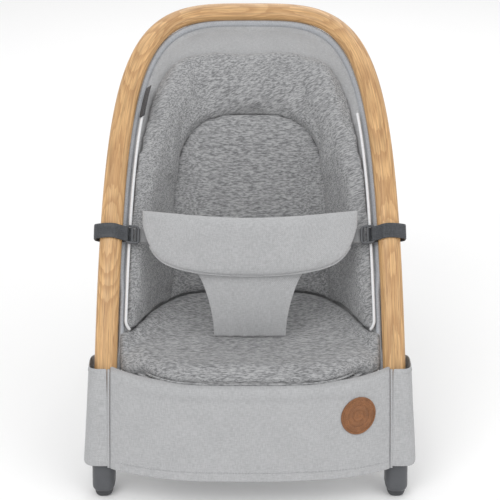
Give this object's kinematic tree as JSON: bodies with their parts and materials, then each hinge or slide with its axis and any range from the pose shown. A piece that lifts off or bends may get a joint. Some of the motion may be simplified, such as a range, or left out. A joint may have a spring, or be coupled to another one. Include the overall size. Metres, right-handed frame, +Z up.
{
  "type": "bouncer seat",
  "caption": "Folding baby bouncer: bentwood arch on two front feet, hinged steel rear leg, hung fabric seat with padded inlay and waist restraint.",
  "frame": {"origin": "on the floor, under the middle of the whole seat's bounding box", "axes": "+X across the seat, towards the sitter's left hand; +Y to the back; +Z up"},
  "size_m": [0.4238, 0.6246, 0.5258],
  "materials": {
    "oak": "satin lacquer over straight oak grain",
    "light_fabric": "fine plain weave, light grey",
    "heather_jersey": "soft mottled jersey, mid grey",
    "piping": "smooth woven edging",
    "webbing": "tight woven strap, slight sheen",
    "dark_plastic": "fine moulded grain",
    "black_rubber": "matt",
    "grey_steel": "satin powder coat",
    "bright_steel": "zinc plated",
    "leather": "smooth, embossed rings"
  },
  "bodies": {
    "seat_frame": {"arch": "oak", "arch_loop_left": "webbing", "arch_loop_right": "webbing", "back_pad": "heather_jersey", "bracket_screw_left_lower": "bright_steel", "bracket_screw_left_upper": "bright_steel", "bracket_screw_right_lower": "bright_steel", "bracket_screw_right_upper": "bright_steel", "foot_housing_left": "dark_plastic", "foot_housing_right": "dark_plastic", "foot_pad_left": "black_rubber", "foot_pad_right": "black_rubber", "front_cross_rail": "grey_steel", "head_bolster": "heather_jersey", "hinge_pin_left": "bright_steel", "hinge_pin_right": "bright_steel", "hub_bracket_left": "dark_plastic", "hub_bracket_right": "dark_plastic", "leather_badge": "leather", "piping_left": "piping", "piping_right": "piping", "rail_bolt_left": "bright_steel", "rail_bolt_right": "bright_steel", "rim_clip_lower_left": "dark_plastic", "rim_clip_lower_right": "dark_plastic", "rim_clip_upper_left": "dark_plastic", "rim_clip_upper_right": "dark_plastic", "rim_rod": "bright_steel", "seat_front_rod": "grey_steel", "seat_pad": "heather_jersey", "seat_shell": "light_fabric", "side_tag": "webbing", "skirt_front": "light_fabric", "skirt_sleeve_left": "light_fabric", "skirt_sleeve_right": "light_fabric"},
    "rear_leg": {"rear_leg": "grey_steel", "leg_hub_left": "dark_plastic", "leg_hub_right": "dark_plastic", "rear_foot_left": "black_rubber", "rear_foot_right": "black_rubber", "lock_spring_left": "bright_steel", "lock_spring_right": "bright_steel"},
    "release_left": {"release_button_left": "dark_plastic", "lock_gear_left": "bright_steel"},
    "release_right": {"release_button_right": "dark_plastic", "lock_gear_right": "bright_steel"},
    "restraint": {"waist_flap": "light_fabric", "crotch_strap": "light_fabric", "buckle_left": "dark_plastic", "buckle_right": "dark_plastic", "belt_tab_left": "webbing", "belt_tab_right": "webbing"}
  },
  "joints": [
    {"name": "leg_fold", "type": "hinge", "parent": "seat_frame", "child": "rear_leg", "pos_m": [0, -0.15861, 0.1883], "axis": [1, 0, 0], "range_deg": [0, 59.9]},
    {"name": "release_left_press", "type": "slide", "parent": "seat_frame", "child": "release_left", "axis": [1, 0, 0], "range_m": [0, 0.003], "stiffness_N_per_m": 600, "deforming": ["lock_spring_left"]},
    {"name": "release_right_press", "type": "slide", "parent": "seat_frame", "child": "release_right", "axis": [-1, 0, 0], "range_m": [0, 0.003], "stiffness_N_per_m": 600, "deforming": ["lock_spring_right"]},
    {"name": "restraint_open", "type": "hinge", "parent": "seat_frame", "child": "restraint", "pos_m": [0, -0.1648, 0.172], "axis": [1, 0, 0], "range_deg": [0, 75]}
  ]
}
